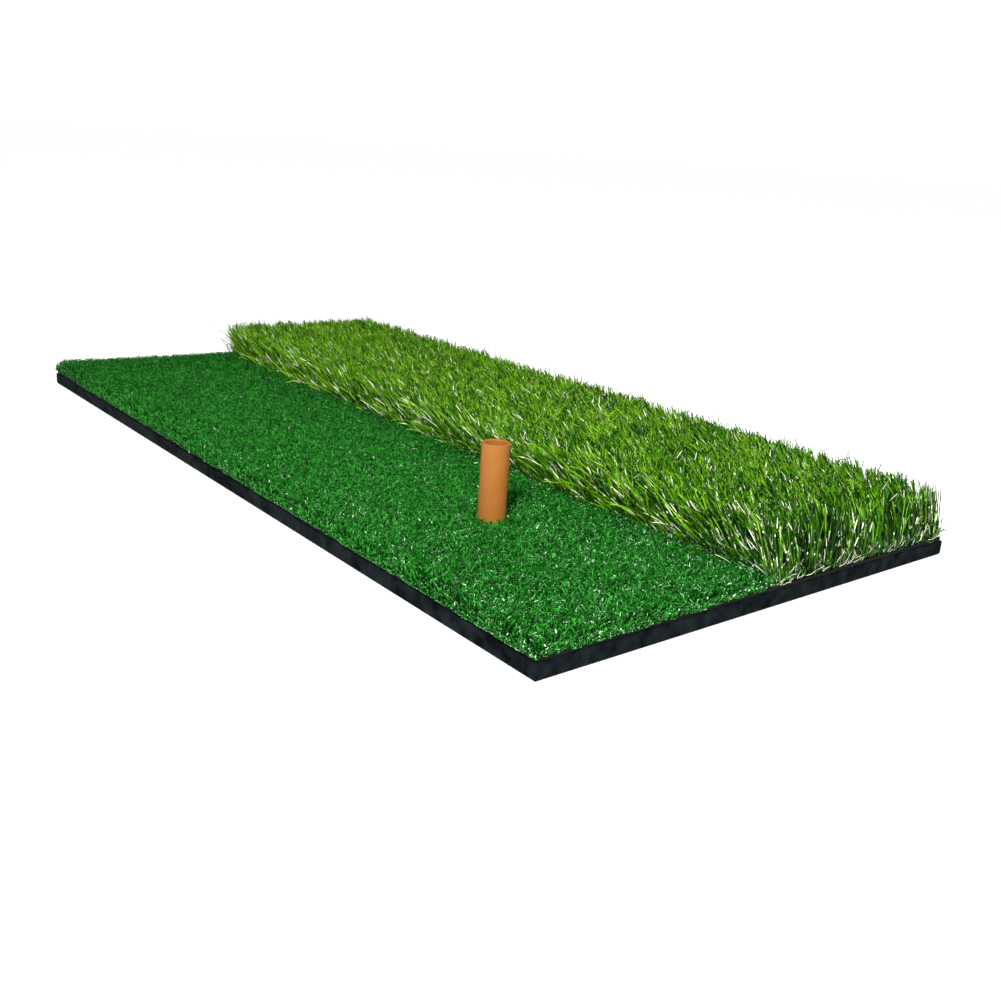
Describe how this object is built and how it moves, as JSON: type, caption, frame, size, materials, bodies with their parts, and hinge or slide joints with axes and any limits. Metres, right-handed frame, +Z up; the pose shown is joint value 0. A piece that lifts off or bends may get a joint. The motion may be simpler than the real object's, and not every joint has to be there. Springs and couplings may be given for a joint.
{
  "type": "golf hitting mat",
  "caption": "Rectangular golf practice mat: short deep-green turf and long yellow-green turf side by side on a black rubber sheet, with a hollow orange tee standing up through the short turf.",
  "frame": {"origin": "centre of the underside of the rubber base sheet, on the surface that the mat lies on", "axes": "+Y along the mat's long side, away from the end that the tee is near; +X along its short side, from the short turf to the long turf; +Z up"},
  "size_m": [0.3, 0.6, 0.058],
  "materials": {
    "base_rubber": "matte, faintly mottled",
    "turf_glue": "matte",
    "latex_coat": "matte",
    "woven_backing": "matte, woven",
    "fairway_yarn": "satin, curled yarn",
    "thatch_yarn": "satin, curled yarn",
    "blade_yarn": "satin, straight blades",
    "tee_rubber": "matte"
  },
  "bodies": {
    "mat": {"base_sheet": "base_rubber", "fairway_glue_film": "turf_glue", "rough_glue_film": "turf_glue", "fairway_latex_coat": "latex_coat", "rough_latex_coat": "latex_coat", "fairway_primary_backing": "woven_backing", "rough_primary_backing": "woven_backing", "fairway_pile": "fairway_yarn", "rough_thatch_pile": "thatch_yarn", "rough_blade_pile": "blade_yarn"},
    "tee": {"tee": "tee_rubber"}
  },
  "joints": [
    {"name": "tee_slide", "type": "slide", "parent": "mat", "child": "tee", "axis": [0, 0, -1], "range_m": [0, 0.062]}
  ]
}
